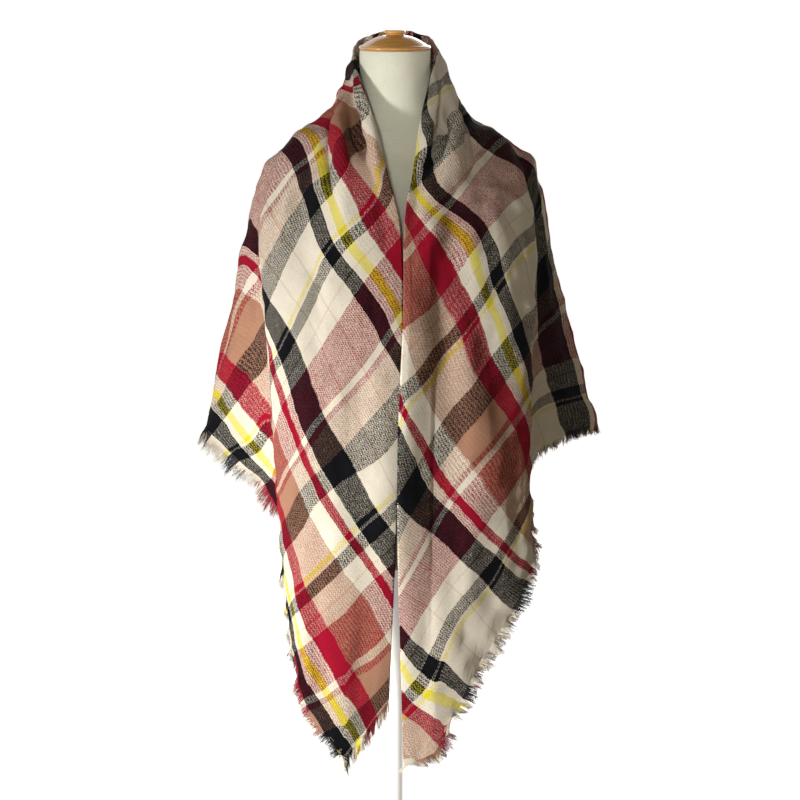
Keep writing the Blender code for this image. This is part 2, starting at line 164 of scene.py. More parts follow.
# Soft folds on the sides and the back, over the net of guides and levels.
# from_guide, from_level, to_guide, to_level, width, height
HIDDEN_CREASES = (
    (5.1, 1.0, 5.0, 2.4, 0.012, 0.0015),
    (5.7, 1.0, 5.5, 3.0, 0.012, -0.0030),
    (6.3, 0.9, 6.2, 2.9, 0.011, 0.0028),
    (6.9, 1.0, 6.8, 3.2, 0.012, -0.0024),
    (7.5, 0.9, 7.6, 3.1, 0.011, 0.0030),
    (8.1, 1.1, 8.3, 3.0, 0.012, -0.0030),
    (8.8, 1.0, 9.0, 2.4, 0.012, 0.0015),
    (5.9, 4.2, 5.8, 6.4, 0.010, 0.0040),
    (6.5, 4.6, 6.5, 6.9, 0.011, -0.0040),
    (7.0, 4.1, 6.95, 6.5, 0.010, 0.0040),
    (7.45, 4.4, 7.5, 6.8, 0.011, -0.0036),
    (8.4, 4.3, 8.35, 6.6, 0.010, 0.0040),
    (4.4, 3.6, 4.5, 5.6, 0.010, -0.0030),
    (9.4, 3.6, 9.5, 5.8, 0.010, 0.0030),
)
CREASE_STEPS = 33         # places along a crease from which the cloth's distance is taken
CREASE_REACH = 0.8        # guides beyond a crease that it can still lift
RIPPLES = 26              # faint waves all over the cloth
RIPPLE_HEIGHT = 0.00030
RIPPLE_LENGTHS = (1.6, 6.5)   # centimetres
HEM_RIPPLE = 0.0016
HEM_RIPPLE_LEVELS = 0.55

# --- The plaid ---
# Colours as shown on screen, 0 to 255, and how far each yarn's brushed fibres cover another's.
# The warp's stripes are counted from the left edge. Its crimson and black have their own cover.
YARNS = {
    "cream": (228, 218, 201, 0.00),
    "tan": (174, 128, 104, 0.02),
    "crimson": (150, 14, 40, 0.22),
    "black": (13, 13, 18, 0.32),
    "warp_crimson": (150, 14, 40, 0.30),
    "warp_black": (13, 13, 18, 0.29),
    "yellow": (222, 206, 44, 0.10),
    "buff": (212, 190, 164, 0.02),
}
# Stripes in centimetres of width, counted from the raw edge on that side.
LEFT_SETT = (
    ("warp_black", 1.8), ("cream", 0.9), ("yellow", 1.0), ("cream", 1.3), ("warp_crimson", 2.2),
    ("tan", 4.7), ("cream", 2.2), ("warp_crimson", 1.0), ("cream", 1.0), ("warp_black", 3.6),
    ("cream", 3.6), ("buff", 0.2), ("cream", 4.2), ("buff", 0.2), ("cream", 3.9),
)
RIGHT_SETT = (
    ("cream", 4.25), ("yellow", 0.5), ("cream", 0.35), ("black", 1.6), ("cream", 2.1),
    ("buff", 0.25), ("cream", 1.85), ("crimson", 7.2), ("cream", 1.1), ("crimson", 1.0),
    ("tan", 3.9), ("black", 3.8),
)
YARN_PITCH = 0.082        # centimetres
LEFT_SHOWS = 0.60         # share of the face that the yarns along the left edge cover
LEFT_COVER, RIGHT_COVER = 0.90, 0.66   # how much of a yarn's cover counts in each family
STRONG_OVER_STRONG = 40.0 # how much black covers crimson besides
UNEVEN_WEAVE = 7.0        # yarns by which the nap and loose yarns shift the twill's steps
TWILL = 4.0               # yarns in one repeat of the twill
WANDER = 0.34             # centimetres by which the stripes wander
FRAY = 0.20               # centimetres by which the yarns tooth the stripes' edges
NAP = 0.24                # how far the brushed nap blends the two families
# Where two stripes cross on the side that shows, and their distances in centimetres from the
# raw edge on the left and on the right. The guides say which part of the cloth to look on.
# low_guide, high_guide, then for each place x_px, y_px, left_cm, right_cm
CROSSINGS = (
    (0, 3.6, (288, 618, 0.9, 117.5), (303, 600, 6.1, 117.5), (357, 547, 14.6, 117.5),
        (375, 530, 17.9, 117.5), (327, 692, 3.2, 130.2), (343, 677, 6.1, 130.2),
        (350, 730, 3.2, 137.7), (367, 718, 6.1, 137.7), (286, 533, 6.1, 109.8),
        (316, 485, 14.6, 109.8), (340, 470, 17.9, 109.8), (313, 425, 17.9, 102.3),
        (386, 337, 32.7, 102.3), (287, 347, 17.9, 89.6), (332, 255, 32.7, 89.6),
        (345, 240, 35.0, 89.6), (370, 215, 37.9, 89.6)),
    (0, 4.2, (310, 197, 32.7, 81.9), (325, 187, 35.0, 81.9)),
    (0, 4.6, (300, 162, 32.7, 74.4), (316, 152, 35.0, 74.4), (292, 148, 32.7, 70.3),
        (309, 135, 35.0, 70.3)),
    (0, 1.3, (360, 103, 44.8, 82.0), (360, 90, 46.4, 81.5), (356, 75, 47.5, 81.5),
        (355, 62, 49.5, 81.0)),
    (1.1, 2.6, (338, 155, 37.9, 81.9), (350, 136, 41.0, 81.9)),
    (2.0, 4.6, (327, 115, 38.0, 71.0)),
    (13.1, 14, (423, 104, 96.3, 61.7)),
)
# Places along one stripe, whose distance is counted from the raw edge on the left.
# low_guide, high_guide, left_cm, then for each place x_px, y_px
LEFT_STRIPES = (
    (0, 1.5, 14.6, (394, 602)),
    (0, 1.5, 17.9, (395, 555)),
    (0, 1.5, 32.7, (397, 355)),
    (0, 1.5, 35.0, (399, 315)),
    (0, 1.5, 37.9, (400, 258)),
    (0, 1.3, 44.6, (371, 116)),
    (0, 1.3, 45.0, (376, 130)),
    (0, 1.3, 43.9, (381, 150)),
    (1.1, 2.6, 37.9, (356, 178)),
    (0.6, 2.6, 37.9, (373, 203)),
    (0.4, 2.6, 37.9, (382, 230)),
    (2.0, 4.6, 35.0, (310, 130), (317, 150)),
    (3.6, 6.4, 6.1, (222, 368), (238, 386), (253, 404), (268, 420)),
    (3.6, 6.4, 0.9, (219, 424), (228, 440), (238, 455), (252, 466), (264, 478)),
    (3.6, 6.4, 3.2, (215, 395), (223, 408), (240, 430), (258, 453), (270, 466)),
    (3.6, 6.4, 14.6, (240, 262), (268, 296)),
    (3.6, 6.4, 17.9, (257, 243)),
    (10.6, 14, 128.1, (399, 641), (410, 652), (430, 667), (450, 680), (461, 687)),
    (10.6, 14, 130.4, (400, 662), (412, 677), (430, 690), (445, 698), (454, 702)),
    (10.6, 14, 133.3, (402, 703), (412, 716), (425, 727), (437, 736)),
    (10.6, 14, 113.3, (398, 457), (405, 480), (440, 520), (460, 540), (500, 580), (520, 597)),
    (10.6, 14, 110.0, (401, 405), (410, 425), (440, 480), (460, 500), (480, 525), (505, 547),
        (530, 568)),
    (10.6, 14, 101.5, (410, 215), (435, 265), (470, 320), (485, 370), (500, 390), (525, 430)),
    (10.6, 14, 98.6, (440, 215), (465, 235), (475, 255), (490, 300), (505, 340)),
    (10.6, 14, 96.3, (425, 185), (440, 195), (460, 205), (480, 225), (490, 245), (500, 285),
        (515, 320), (526, 350)),
    (8.6, 12.6, 83.3, (475, 146), (500, 156), (510, 161), (520, 171), (526, 182)),
    (8.6, 12.6, 81.0, (500, 146), (515, 153), (527, 165)),
    (7.6, 10.8, 79.7, (541, 210), (544, 230), (549, 255), (554, 280), (560, 310), (566, 335),
        (573, 360), (580, 385), (588, 410), (592, 430)),
    (8.4, 10.8, 83.3, (538, 345), (545, 372), (553, 400), (560, 420)),
    (13.1, 14, 96.3, (427, 122), (432, 138)),
    (13.1, 14, 98.6, (420, 145)),
)
# The same, counted from the raw edge on the right: right_cm takes the place of left_cm.
RIGHT_STRIPES = (
    (0, 1.5, 130.2, (392, 632)),
    (0, 1.5, 117.5, (395, 510)),
    (0, 1.5, 109.8, (395, 415)),
    (0, 1.5, 102.3, (397, 322)),
    (0, 1.3, 89.6, (386, 180), (384, 205)),
    (0, 1.3, 88.1, (380, 182)),
    (0, 1.3, 85.5, (375, 130)),
    (1.1, 2.6, 81.9, (360, 135)),
    (1.1, 2.6, 83.7, (356, 157)),
    (1.1, 2.6, 74.4, (340, 97)),
    (0.6, 2.6, 88.1, (355, 220)),
    (3.6, 6.4, 81.9, (262, 345), (245, 372), (225, 402), (212, 420)),
    (3.6, 6.4, 89.6, (273, 428), (256, 446), (235, 457)),
    (3.6, 6.4, 88.1, (264, 414), (240, 443)),
    (8.4, 10.8, 5.9, (541, 402), (575, 391)),
    (8.4, 10.8, 10.9, (540, 372), (566, 362)),
    (7.6, 10.8, 33.8, (536, 206)),
    (7.6, 10.8, 27.9, (543, 257)),
    (7.6, 10.8, 24.1, (550, 285)),
    (7.6, 10.8, 18.1, (558, 318)),
    (10.6, 14, 5.9, (404, 700), (420, 683), (433, 660), (444, 635), (453, 617), (470, 597), (490, 575),
        (505, 547), (525, 512)),
    (10.6, 14, 6.9, (427, 660), (438, 635)),
    (10.6, 14, 5.0, (439, 662), (450, 637)),
    (10.6, 14, 18.7, (400, 590), (415, 565), (428, 540), (460, 490), (480, 468), (495, 450), (510, 430)),
    (10.6, 14, 26.0, (398, 515), (415, 490), (440, 450), (470, 410), (500, 370), (515, 350)),
    (10.6, 14, 33.8, (402, 395), (420, 380), (440, 350), (470, 315), (485, 295), (500, 270), (528, 235)),
    (10.6, 14, 46.5, (405, 258), (420, 240), (440, 215), (455, 200), (465, 185), (480, 165)),
    (13.1, 14, 61.7, (433, 93)),
    (13.1, 14, 60.2, (430, 104)),
    (12.6, 14, 54.0, (416, 175)),
    (11.3, 13.3, 54.0, (458, 115), (455, 135)),
)
# Distances at places of the net that the photograph hides.
# guide, level, left_cm, right_cm
HIDDEN_PLACES = (
    (7.0, 0.0, 70.0, 70.0),
    (5.0, 7.0, 0.0, 80.5),
    (6.0, 7.0, 0.0, 46.0),
    (8.0, 7.0, 46.0, 0.0),
    (9.0, 7.0, 77.0, 0.0),
)
FOLD_FADE = 0.10          # metres from the fold over which its offset from the diagonal fades
# How much the chart resists bending, twisting, and missing a place, a raw edge or the diagonal.
# The last is small, because the cloth is folded only roughly on its diagonal.
BEND_WEIGHT, TWIST_WEIGHT = 40.0, 80.0
PLACE_WEIGHT, EDGE_WEIGHT, FOLD_WEIGHT = 25.0, 400.0, 0.02

# --- Fringe ---
YARN_END_PITCH = 0.00050
YARN_END_RADIUS = 0.00046
YARN_END_TIP = 0.40       # share of the radius that is left at the tip
YARN_END_ROOT = 0.0006    # how deep its root stands in the cloth
YARN_END_SIDES = 3
YARN_END_PARTS = 3
CLUMP = 0.0042            # yarn ends stick together over about this width
GATHER = 0.30             # how much they lean to the middle of their clump
DOWN_LEAN = 0.14          # how much they lean down the cloth
CLUMP_LEAN = 0.09         # how much each clump leans its own way
STRAY_LEAN = 0.045        # how much each yarn end leans its own way
SAG, CLUMP_CURL, STRAY_CURL = 0.16, 0.10, 0.06   # the same for how they curl
CLUMP_SHORT, STRAY_SHORT = (0.82, 1.1), (0.78, 1.05)   # shares of the length
# guide, length
FRINGE_LENGTHS = (
    (0.0, 0.0190), (0.99, 0.0210), (1.01, 0.0150), (2.0, 0.0125), (3.7, 0.0125), (4.2, 0.0230),
    (4.8, 0.0250), (5.8, 0.0200), (7.0, 0.0180), (8.2, 0.0180), (9.0, 0.0110), (10.2, 0.0110),
    (10.8, 0.0180), (12.9, 0.0190), (13.2, 0.0130), (14.0, 0.0110),
)
# guide, how much the fringe hangs straight down instead of going on as the yarns do
FRINGE_HANG = ((0.0, 0.9), (0.99, 0.8), (1.01, 0.10), (10.0, 0.10), (10.6, 0.0), (14.0, 0.0))
# guide, how much it stands out to the right
FRINGE_SPREAD = ((10.2, 0.0), (10.8, 0.6), (13.0, 0.6), (13.6, 0.1))
# name, first guide, last guide
FRINGE_RUNS = (
    ("fringe_left_tip", 0.0, 1.0),
    ("fringe_left", 1.0, 7.0),
    ("fringe_right", 7.0, 13.0),
    ("fringe_right_tip", 13.0, 14.0),
)

# --- The dress form, as in part.py ---
CLEAR = 0.0003
TORSO_BOTTOM = 0.790
NECK_TOP = 1.4735
CAP_RADIUS = 0.0475
CAP_RIM = 0.0060
CAP_ROUND = 0.004
CAP_HEIGHT = 0.0185
KNOB_RADIUS = 0.0138
KNOB_TOP = 1.5000
# inset from the knob's radius, share of its height
KNOB_WAIST = ((0.0012, 0.0), (0.0019, 0.18), (0.0003, 0.36), (0.0, 0.60), (0.0005, 0.86))
KNOB_EDGE = ((0.0022, 0.0003), (0.0050, 0.0))   # inset, distance below the top
# z, half_width, front_y, back_y, corner (2 is an ellipse, more is squarer)
TORSO = (
    (TORSO_BOTTOM, 0.146, -0.096, 0.100, 2.2),
    (0.850, 0.152, -0.101, 0.106, 2.3),
    (0.940, 0.140, -0.094, 0.096, 2.3),
    (1.030, 0.120, -0.086, 0.078, 2.2),
    (1.120, 0.132, -0.101, 0.080, 2.3),
    (1.200, 0.150, -0.116, 0.086, 2.4),
    (1.270, 0.160, -0.102, 0.092, 2.4),
    (1.315, 0.1595, -0.078, 0.090, 2.3),
    (1.338, 0.1455, -0.062, 0.082, 2.2),
    (1.357, 0.116, -0.053, 0.072, 2.1),
    (1.372, 0.083, -0.047, 0.061, 2.0),
    (1.385, 0.059, -0.045, 0.054, 2.0),
    (1.404, 0.050, -0.045, 0.050, 2.0),
    (1.432, 0.0470, -0.0455, 0.0475, 2.0),
    (NECK_TOP, 0.0465, -0.0465, 0.0465, 2.0),
)
NECK_SEAM = 1.3725
SEAM_DEPTH = 0.0007
SEAM_WIDTH = 0.0012
ROUND_STEPS = 144
TORSO_ROWS = 260
TORSO_FOOT, TORSO_HEAD = (0.5, 0.97), (0.75, 0.515)   # shares of the width that close its ends

# --- Surfaces, floor and light ---
# share, colour as shown on screen
LINEN_SHADES = ((0.3, (232, 231, 211)), (0.7, (243, 242, 224)))
WOOD_SHADES = ((0.30, (184, 118, 34)), (0.47, (216, 150, 56)), (0.70, (238, 182, 86)))
PAINT_SHADES = ((0.3, (226, 224, 218)), (0.7, (238, 236, 231)))
FLOOR_SHADES = ((0.3, (247, 247, 246)), (0.7, (251, 251, 251)))
# radius, height
FLOOR_PROFILE = ((2.0, 0.0), (5.0, 0.0), (6.2, 0.0), (6.9, 0.12), (7.3, 0.5), (7.5, 1.1),
                 (7.55, 3.0), (7.55, 7.0))
FLOOR_TOP = -0.0005       # just under the stand's flat foot
FLOOR_STEPS = 96
ROOM_LIGHT, ROOM_LIGHT_STRENGTH = (1.0, 0.93, 0.79, 1.0), 0.17
# name, place, aim, size, watts, colour, spread of the beam in degrees
LIGHTS = (
    ("key", (-1.98, -1.55, 0.70), (-0.12, -0.1, 0.76), (0.4, 1.1), 4.1, (1.0, 0.995, 0.97), 24.0),
    ("neck", (-0.25, -2.5, 1.75), (0, -0.04, 1.43), (0.3, 0.3), 0.12, (1.0, 0.995, 0.95), 12.0),
    ("fill", (2.3, -2.3, 0.55), (0, 0, 0.8), (1.4, 1.4), 4.4, (1.0, 0.66, 0.28), 180.0),
    ("back", (0.7, 2.7, 1.7), (0, 0, 1.0), (1.6, 1.6), 34.0, (1.0, 0.98, 0.96), 180.0),
)


def smooth_through(values, places):
    """Read a Catmull-Rom curve through equally spaced values at the given places."""
    values = np.asarray(values, float)
    last = len(values) - 1
    before = np.vstack([2 * values[:1] - values[1:2], values, 2 * values[-1:] - values[-2:-1]])
    span = np.clip(np.floor(places).astype(int), 0, last - 1)
    t = (np.asarray(places) - span).reshape((-1,) + (1,) * (values.ndim - 1))
    p0, p1, p2, p3 = (before[span + k] for k in range(4))
    return 0.5 * (2 * p1 + (p2 - p0) * t + (2 * p0 - 5 * p1 + 4 * p2 - p3) * t ** 2
                  + (3 * p1 - p0 - 3 * p2 + p3) * t ** 3)


def read_between(rows, places):
    """Read straight between rows of x, y, z at the given places."""
    return np.array([np.interp(places, range(len(rows)), rows[:, axis]) for axis in range(3)]).T


def net_normals(net):
    """Return the outward directions of a net of points."""
    normal = np.cross(np.gradient(net, axis=0), np.gradient(net, axis=1))
    return normal / np.linalg.norm(normal, axis=2, keepdims=True)


def fold_heights(net, across, down, folds):
    """Return how far the folds lift each point of the net."""
    girth = np.linalg.norm(np.diff(net, axis=0), axis=2)
    reach = np.vstack([np.zeros(len(down)), np.cumsum(girth, axis=0)])
    lift = np.zeros(net.shape[:2])
    for from_guide, from_level, to_guide, to_level, width, height in folds:
        along = np.clip((down - from_level) / (to_level - from_level), 0.0, 1.0)
        strength = along if to_level == LAST_LEVEL else np.sin(np.pi * along)
        middle = from_guide + (to_guide - from_guide) * along
        centre = np.array([np.interp(middle[k], across, reach[:, k]) for k in range(len(down))])
        lift += height * strength * np.exp(-((reach - centre) / width) ** 2)
    return lift


def cloth_net(across, down):
    """Return the solid's inner face at the given guide and level numbers."""
    cells = np.array([row for _, row in GUIDES], float) / 1000.0
    by_guide = smooth_through(cells, across)
    net = smooth_through(by_guide.transpose(1, 0, 2), down).transpose(1, 0, 2)
    straight = read_between(cells[:, -1], across)
    near_tip = np.minimum(abs(across - LEFT_TIP), abs(across - RIGHT_TIP)) < 1.0
    share = near_tip[:, None] * np.clip(down - LAST_LEVEL + 1, 0.0, 1.0)[None, :] ** 2
    net += share[:, :, None] * (straight - by_guide[:, -1])[:, None, :]
    return net + net_normals(net) * fold_heights(net, across, down, FOLDS)[:, :, None]


def project(points):
    """Return x and y in the photograph's frame, and the depth, of points in metres."""
    ahead, up = points[..., 1] - CAMERA_Y, points[..., 2] - CAMERA_Z
    depth = ahead * math.cos(CAMERA_PITCH) - up * math.sin(CAMERA_PITCH)
    rise = ahead * math.sin(CAMERA_PITCH) + up * math.cos(CAMERA_PITCH)
    middle = PHOTO_PX / 2
    return (middle + FOCAL_PX * (points[..., 0] - CAMERA_X) / depth,
            middle - FOCAL_PX * rise / depth, depth)


def find_on_cloth(seen, across, down, low_guide, high_guide, x_px, y_px):
    """Return the guide and level of the cloth that shows at a place of the photograph's frame."""
    shown_x, shown_y, depth = seen
    first, last = np.searchsorted(across, [low_guide - 1e-6, high_guide + 1e-6])
    off = np.hypot(shown_x[first:last] - x_px, shown_y[first:last] - y_px)
    near = np.where(off < max(NEAR_PX, off.min() + 0.5), depth[first:last], np.inf)
    near = np.where(depth[first:last] < near.min() + NEAR_DEPTH, off, np.inf)
    i, j = np.unravel_index(np.argmin(near), near.shape)
    i, j = int(np.clip(i + first, 1, len(across) - 2)), int(np.clip(j, 1, len(down) - 2))
    slope = np.array([[shown[i + 1, j] - shown[i - 1, j], shown[i, j + 1] - shown[i, j - 1]]
                      for shown in (shown_x, shown_y)]) / 2
    miss = np.array([x_px - shown_x[i, j], y_px - shown_y[i, j]])
    step = np.clip(np.linalg.lstsq(slope, miss, rcond=0.2)[0], -1.5, 1.5)
    return (np.interp(i + step[0], range(len(across)), across),
            np.interp(j + step[1], range(len(down)), down))


def net_points(net, across, down, guides, levels):
    """Return the net's points at pairs of guide and level."""
    i = np.interp(guides, across, range(len(across)))
    j = np.interp(levels, down, range(len(down)))
    i0 = np.clip(np.floor(i).astype(int), 0, len(across) - 2)
    j0 = np.clip(np.floor(j).astype(int), 0, len(down) - 2)
    u, v = (i - i0)[:, None], (j - j0)[:, None]
    near = (1 - u) * net[i0, j0] + u * net[i0 + 1, j0]
    far = (1 - u) * net[i0, j0 + 1] + u * net[i0 + 1, j0 + 1]
    return (1 - v) * near + v * far


def crease_heights(net, across, down):
    """Return how far the creases that show lift each point of the net."""
    seen = project(net)
    lift = np.zeros(net.shape[:2])
    for low_guide, high_guide, x0, y0, x1, y1, x2, y2, width_mm, height_mm in SHOWN_CREASES:
        ends = [find_on_cloth(seen, across, down, low_guide, high_guide, x, y)
                for x, y in ((x0, y0), (x1, y1), (x2, y2))]
        along = np.linspace(0.0, 1.0, CREASE_STEPS)
        guides, levels = smooth_through(ends, along * 2).T
        path = net_points(net, across, down, guides, levels)
        first, last = np.searchsorted(across, [guides.min() - CREASE_REACH, guides.max() + CREASE_REACH])
        part = net[first:last]
        apart = np.linalg.norm(part[:, :, None, :] - path[None, None, :, :], axis=3)
        nearest = apart.argmin(axis=2)
        strength = np.sin(np.pi * np.clip(along[nearest], 0.02, 0.98)) ** 0.8
        width, height = width_mm / 1000, height_mm / 1000
        lift[first:last] += height * strength * np.exp(-(apart.min(axis=2) / width) ** 2)
    return lift


def segment_lengths(guides, levels, finer=4):
    """Return the lengths in centimetres of the chart's steps over the cloth, each way."""
    def refine(values):
        return np.interp(np.arange((len(values) - 1) * finer + 1) / finer, range(len(values)), values)

    steps = np.linalg.norm(np.diff(cloth_net(refine(guides), levels), axis=0), axis=2) * 100
    falls = np.linalg.norm(np.diff(cloth_net(guides, refine(levels)), axis=1), axis=2) * 100
    return (steps.reshape(len(guides) - 1, finer, -1).sum(axis=1),
            falls.reshape(len(guides), len(levels) - 1, finer).sum(axis=2))


def chart_stiffness(steps, falls):
    """Return how the chart resists bending and twisting, for each pair of its nodes."""
    count = CHART_COLUMNS * CHART_ROWS
    number = np.arange(count).reshape(CHART_COLUMNS, CHART_ROWS)
    stiff = np.zeros((count, count))

    def add(nodes, weights):
        for a, weight_a in zip(nodes, weights):
            for b, weight_b in zip(nodes, weights):
                np.add.at(stiff, (a.ravel(), b.ravel()), (weight_a * weight_b).ravel())

    def bend(nodes, before, after):
        size = math.sqrt(BEND_WEIGHT) / ((before + after) / 2)
        add(nodes, (size / before, -size * (1 / before + 1 / after), size / after))

    bend((number[:-2], number[1:-1], number[2:]), steps[:-1], steps[1:])
    bend((number[:, :-2], number[:, 1:-1], number[:, 2:]), falls[:, :-1], falls[:, 1:])
    cell = (steps[:, 1:] + steps[:, :-1]) / 2 * (falls[1:] + falls[:-1]) / 2
    twist = math.sqrt(TWIST_WEIGHT) / cell
    add((number[1:, 1:], number[1:, :-1], number[:-1, 1:], number[:-1, :-1]),
        (twist, -twist, -twist, twist))
    return stiff


def plaid_marks(net, across, down):
    """Return guide, level, left_cm and right_cm of every place read off the stripes."""
    marks = [(low, high, *place) for low, high, *places in CROSSINGS for place in places]
    for low, high, left_cm, *places in LEFT_STRIPES:
        marks += [(low, high, x, y, left_cm, None) for x, y in places]
    for low, high, right_cm, *places in RIGHT_STRIPES:
        marks += [(low, high, x, y, None, right_cm) for x, y in places]
    seen = project(net)
    return [(*find_on_cloth(seen, across, down, low, high, x, y), left_cm, right_cm)
            for low, high, x, y, left_cm, right_cm in marks]


def chart_plaid(net, across, down):
    """Return each net point's distances in centimetres from the two raw edges.

    The distances are smooth over the cloth, meet the fold and the raw edges, and pass through
    the places read off the stripes.
    """
    guides = np.linspace(0, LAST_GUIDE, CHART_COLUMNS)
    levels = np.linspace(0, LAST_LEVEL, CHART_ROWS)
    count = CHART_COLUMNS * CHART_ROWS
    nothing = np.zeros(count)
    whole = np.zeros((2 * count, 2 * count))
    whole[:count, :count] = whole[count:, count:] = chart_stiffness(*segment_lengths(guides, levels))
    wanted = np.zeros(2 * count)

    def demand(left_row, right_row, value, weight):
        row = np.concatenate([left_row, right_row])
        used = np.flatnonzero(row)
        whole[np.ix_(used, used)] += weight * np.outer(row[used], row[used])
        wanted[used] += weight * value * row[used]

    def node(i, j):
        row = np.zeros((CHART_COLUMNS, CHART_ROWS))
        row[i, j] = 1.0
        return row.ravel()

    def chart_place(values, last, rows):
        return np.asarray(values) / last * (rows - 1)

    side = FLAT * 100
    fold = [(0, j) for j in range(CHART_ROWS)] + [(i, 0) for i in range(1, CHART_COLUMNS - 1)]
    for i, j in fold + [(CHART_COLUMNS - 1, j) for j in range(CHART_ROWS)]:
        demand(node(i, j), node(i, j), side, FOLD_WEIGHT)
    for i, guide in enumerate(guides):
        hem = node(i, -1)
        if guide <= LEFT_TIP:
            demand(nothing, hem, side, EDGE_WEIGHT)
        if LEFT_TIP <= guide <= SPINE:
            demand(hem, nothing, 0.0, EDGE_WEIGHT)
        if SPINE <= guide <= RIGHT_CORNER:
            demand(nothing, hem, 0.0, EDGE_WEIGHT)
        if guide >= RIGHT_CORNER:
            demand(hem, nothing, side, EDGE_WEIGHT)
    for guide, level, left_cm, right_cm in plaid_marks(net, across, down) + list(HIDDEN_PLACES):
        by_guide = smooth_through(np.eye(CHART_COLUMNS), chart_place([guide], LAST_GUIDE, CHART_COLUMNS))
        by_level = smooth_through(np.eye(CHART_ROWS), chart_place([level], LAST_LEVEL, CHART_ROWS))
        row = np.outer(by_guide, by_level).ravel()
        if left_cm is not None:
            demand(row, nothing, left_cm, PLACE_WEIGHT)
        if right_cm is not None:
            demand(nothing, row, right_cm, PLACE_WEIGHT)
    solved = np.linalg.solve(whole + 1e-9 * np.eye(2 * count), wanted)
    chart = solved.reshape(2, CHART_COLUMNS, CHART_ROWS).transpose(1, 2, 0)
    by_guide = smooth_through(chart, chart_place(across, LAST_GUIDE, CHART_COLUMNS))
    by_level = smooth_through(by_guide.transpose(1, 0, 2), chart_place(down, LAST_LEVEL, CHART_ROWS))
    return by_level.transpose(1, 0, 2)


def ripple_heights(threads, down):
    """Return the faint waves of the woven cloth, stronger at its raw edge."""
    left, right = threads[..., 0], threads[..., 1]
    lift = np.zeros(left.shape)
    for _ in range(RIPPLES):
        turn, length = rng.uniform(0, math.pi), rng.uniform(*RIPPLE_LENGTHS)
        phase = rng.uniform(0, 2 * math.pi)
        wave = 2 * math.pi / length * (left * math.cos(turn) + right * math.sin(turn))
        lift += RIPPLE_HEIGHT * (length / 4) * np.sin(wave + phase)
    along = left - right
    edge = np.clip((down - LAST_LEVEL + HEM_RIPPLE_LEVELS) / HEM_RIPPLE_LEVELS, 0.0, 1.0)[None, :] ** 2
    hem = np.sin(along * 1.9 + 2 * np.sin(along * 0.31)) * 0.6 + np.sin(along * 0.83 + 1.3) * 0.7
    return lift + HEM_RIPPLE * edge * hem


def ring_faces(first, count, rings):
    """Return the faces between closed rings of corners, which are numbered on from the first."""
    faces = []
    for ring in range(first, first + (rings - 1) * count, count):
        for k in range(count):
            a, b = ring + k, ring + (k + 1) % count
            faces.append((a, b, b + count, a + count))
    return faces


def add_object(name, verts, faces, mat):
    """Make one smooth mesh of one material."""
    mesh = bpy.data.meshes.new(name)
    mesh.from_pydata(np.asarray(verts).tolist(), [], faces)
    mesh.validate()
    mesh.materials.append(mat)
    mesh.shade_smooth()
    made = bpy.data.objects.new(name, mesh)
    bpy.context.collection.objects.link(made)
    return made


def store_threads(obj, values):
    """Keep each corner's place in the weave: its two distances in centimetres and its family."""
    layer = obj.data.attributes.new("threads", "FLOAT_VECTOR", "POINT")
    layer.data.foreach_set("vector", np.asarray(values, np.float32).ravel())


def fold_offsets(net, threads):
    """Return how much the fold's distance from the square's diagonal moves the plaid's other layer.

    It is whole at the fold, so that the stripes run round it, and fades away from it.
    """
    past = threads.sum(axis=2) - FLAT * 100
    girth = np.linalg.norm(np.diff(net, axis=0), axis=2)
    from_left = np.vstack([np.zeros(net.shape[1]), np.cumsum(girth, axis=0)])
    drop = np.linalg.norm(np.diff(net, axis=1), axis=2)
    from_top = np.hstack([np.zeros((net.shape[0], 1)), np.cumsum(drop, axis=1)])
    shares = [np.exp(-(reach / FOLD_FADE) ** 2)
              for reach in (from_left, from_left[-1] - from_left, from_top)]
    total = shares[0] * past[:1] + shares[1] * past[-1:] + shares[2] * past[:, :1]
    return total / np.maximum(sum(shares), 1e-9) * np.maximum.reduce(shares)


def room_over_form(points):
    """Return how far the cloth can sink at each point before it lies on the dress form."""
    rows = smooth_through(TORSO, np.linspace(0, len(TORSO) - 1, 200)).T
    half_width, front, back, corner = (np.interp(points[..., 2], rows[0], row) for row in rows[1:])
    depth = np.where(points[..., 1] > 0, back, -front)
    across, along = abs(points[..., 0]) / half_width, abs(points[..., 1]) / depth
    past = (across ** corner + along ** corner) ** (1 / corner)
    room = np.hypot(points[..., 0], points[..., 1]) * (1 - 1 / np.maximum(past, 1.0))
    return np.clip(ROOM_SHARE * room - ROOM_LEFT, 0.0, None)


def cloth_layers(across, down):
    """Return the way out of the cloth, and the net and distances of its outer and inner layer."""
    solid = cloth_net(across, down)
    outward = net_normals(solid)
    solid += outward * WALL
    crease = crease_heights(solid, across, down)
    crease += fold_heights(solid, across, down, HIDDEN_CREASES)
    threads = chart_plaid(solid + outward * crease[:, :, None], across, down)
    crease += ripple_heights(threads, down)
    inner_crease = np.maximum(crease, -room_over_form(solid - outward * WALL))
    crease = np.maximum(crease, inner_crease - LAYER_PRESS)
    hem_share = np.clip((down - LAST_LEVEL + HEM_LEVELS) / HEM_LEVELS, 0, 1)[None, :]
    gap = LAYER_GAP + (HEM_GAP - LAYER_GAP) * hem_share
    outer = solid + outward * crease[:, :, None]
    inner = solid + outward * (inner_crease - gap)[:, :, None]
    inner_threads = FLAT * 100 - threads[:, :, ::-1] + fold_offsets(solid, threads)[:, :, None]
    return outward, (outer, threads), (inner, inner_threads)


def rim_ways(net, rim):
    """Return the way out over the folded edge at each of its places."""
    ways = []
    for i, j in rim:
        parts = [net[i, j] - net[inside, j] for end, inside in ((0, 1), (len(net) - 1, -2)) if i == end]
        if j == 0:
            parts.append(net[i, j] - net[i, 1])
        way = sum(part / np.linalg.norm(part) for part in parts)
        ways.append(way / np.linalg.norm(way))
    return np.array(ways)


